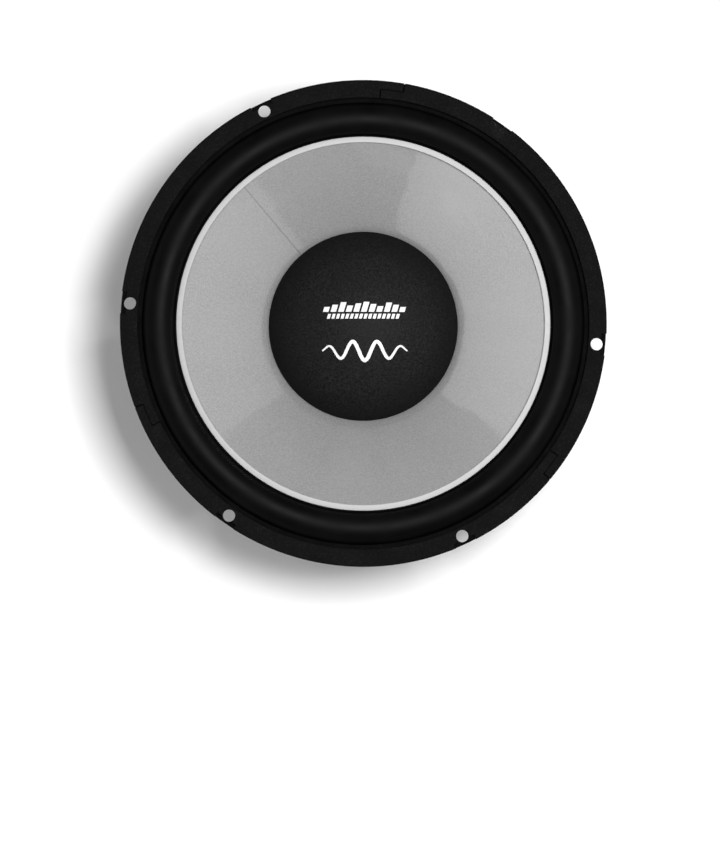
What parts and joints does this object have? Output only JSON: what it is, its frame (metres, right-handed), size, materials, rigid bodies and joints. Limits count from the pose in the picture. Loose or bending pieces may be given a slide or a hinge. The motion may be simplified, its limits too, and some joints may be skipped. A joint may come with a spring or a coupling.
{
  "type": "car subwoofer speaker",
  "caption": "Round car subwoofer driver: pressed steel basket, ring magnet motor, silver cone with black half-roll surround and dust cap, terminals and braided leads.",
  "frame": {"origin": "centre of the plane that the rear bump of the back plate rests on, on the driver's axis", "axes": "+Z along the driver's axis towards the listener; -Y towards the terminals; +X completes the frame"},
  "size_m": [0.308, 0.308, 0.1563],
  "materials": {
    "black_paint": "satin black paint on pressed steel",
    "bright_zinc": "bright zinc plate, turned",
    "ferrite": "matte dark grey ground ferrite",
    "gasket_rubber": "matte black",
    "surround_rubber": "satin black",
    "silver_cone": "silver coated paper, fine grain",
    "white_trim": "near-white satin ring",
    "black_cap": "matte black felt-like texture",
    "orange_label": "printed orange label, satin",
    "vent_mesh": "black woven mesh",
    "screw_steel": "plated",
    "spider_cloth": "treated woven cloth",
    "kapton": "amber polyimide",
    "copper": "enamelled copper",
    "adhesive": "cured black adhesive",
    "phenolic": "laminated phenolic board",
    "tinned_brass": "tinned",
    "tinsel": "silver braided",
    "paper_label": "white paper"
  },
  "bodies": {
    "basket_assembly": {"t_yoke": "bright_zinc", "magnet": "ferrite", "top_plate": "bright_zinc", "magnet_label": "orange_label", "pole_vent_screen": "vent_mesh", "basket": "black_paint", "basket_screw_1": "screw_steel", "basket_screw_2": "screw_steel", "basket_screw_3": "screw_steel", "basket_screw_4": "screw_steel", "gasket_segment_1": "gasket_rubber", "gasket_segment_2": "gasket_rubber", "gasket_segment_3": "gasket_rubber", "surround": "surround_rubber", "spider": "spider_cloth", "terminal_board": "phenolic", "board_rivet": "tinned_brass", "terminal_tag_left": "tinned_brass", "terminal_tag_right": "tinned_brass", "terminal_rivet_left": "tinned_brass", "terminal_rivet_right": "tinned_brass", "tinsel_lead_left": "tinsel", "tinsel_lead_right": "tinsel", "inspection_sticker": "paper_label"},
    "moving_assembly": {"cone": "silver_cone", "cone_trim_ring": "white_trim", "dust_cap": "black_cap", "voice_coil_former": "kapton", "voice_coil_winding": "copper", "neck_collar": "adhesive", "lead_anchor_left": "adhesive", "lead_anchor_right": "adhesive", "coil_wire_left": "copper", "coil_wire_right": "copper"}
  },
  "joints": [
    {"name": "cone_excursion", "type": "slide", "parent": "basket_assembly", "child": "moving_assembly", "axis": [0, 0, 1], "range_m": [-0.009, 0.009], "stiffness_N_per_m": 4000, "deforming": ["surround", "spider", "tinsel_lead_left", "tinsel_lead_right"]}
  ]
}
